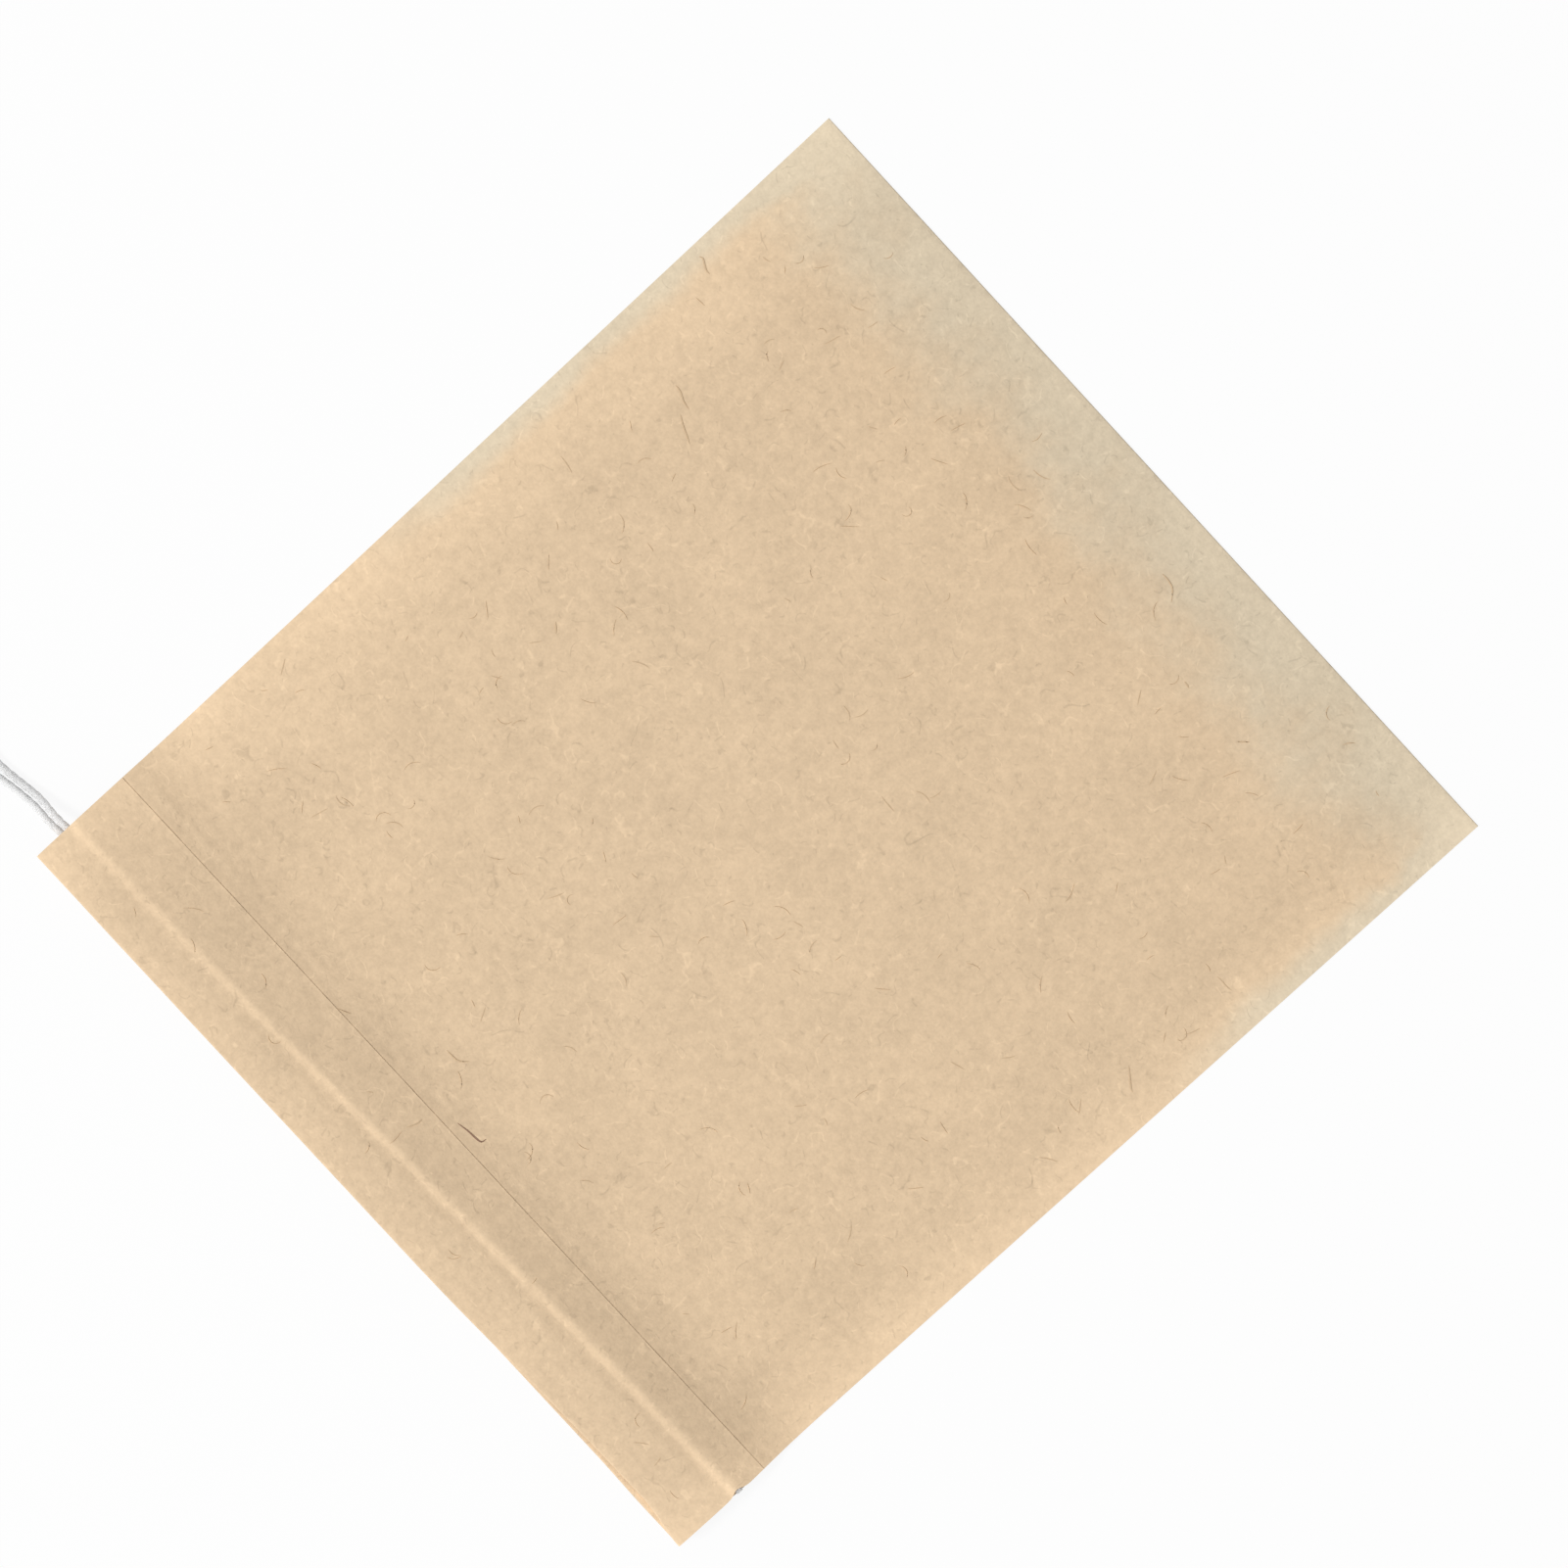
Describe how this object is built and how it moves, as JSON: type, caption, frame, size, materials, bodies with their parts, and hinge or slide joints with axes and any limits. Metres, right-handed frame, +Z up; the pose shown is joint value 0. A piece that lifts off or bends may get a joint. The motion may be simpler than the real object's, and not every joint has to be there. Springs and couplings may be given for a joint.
{
  "type": "tea bag",
  "caption": "Empty flat tea filter bag of unbleached paper, with folded hems at the mouth, sealed sides and a white cotton drawstring.",
  "frame": {"origin": "middle of the bag's outline, on the surface that it lies on", "axes": "+X along the mouth towards the seal that holds the cord's ends, +Y from the mouth to the bottom fold, +Z up off the front panel"},
  "size_m": [0.09, 0.0839, 0.0027],
  "materials": {
    "filter_paper": "matt unbleached filter paper",
    "cotton_cord": "matt white cotton"
  },
  "bodies": {
    "root": {"pouch": "filter_paper", "drawstring_front_run": "cotton_cord", "drawstring_back_run": "cotton_cord", "drawstring_loop_upper": "cotton_cord", "drawstring_loop_lower": "cotton_cord", "drawstring_loop_coil": "cotton_cord"}
  },
  "joints": []
}
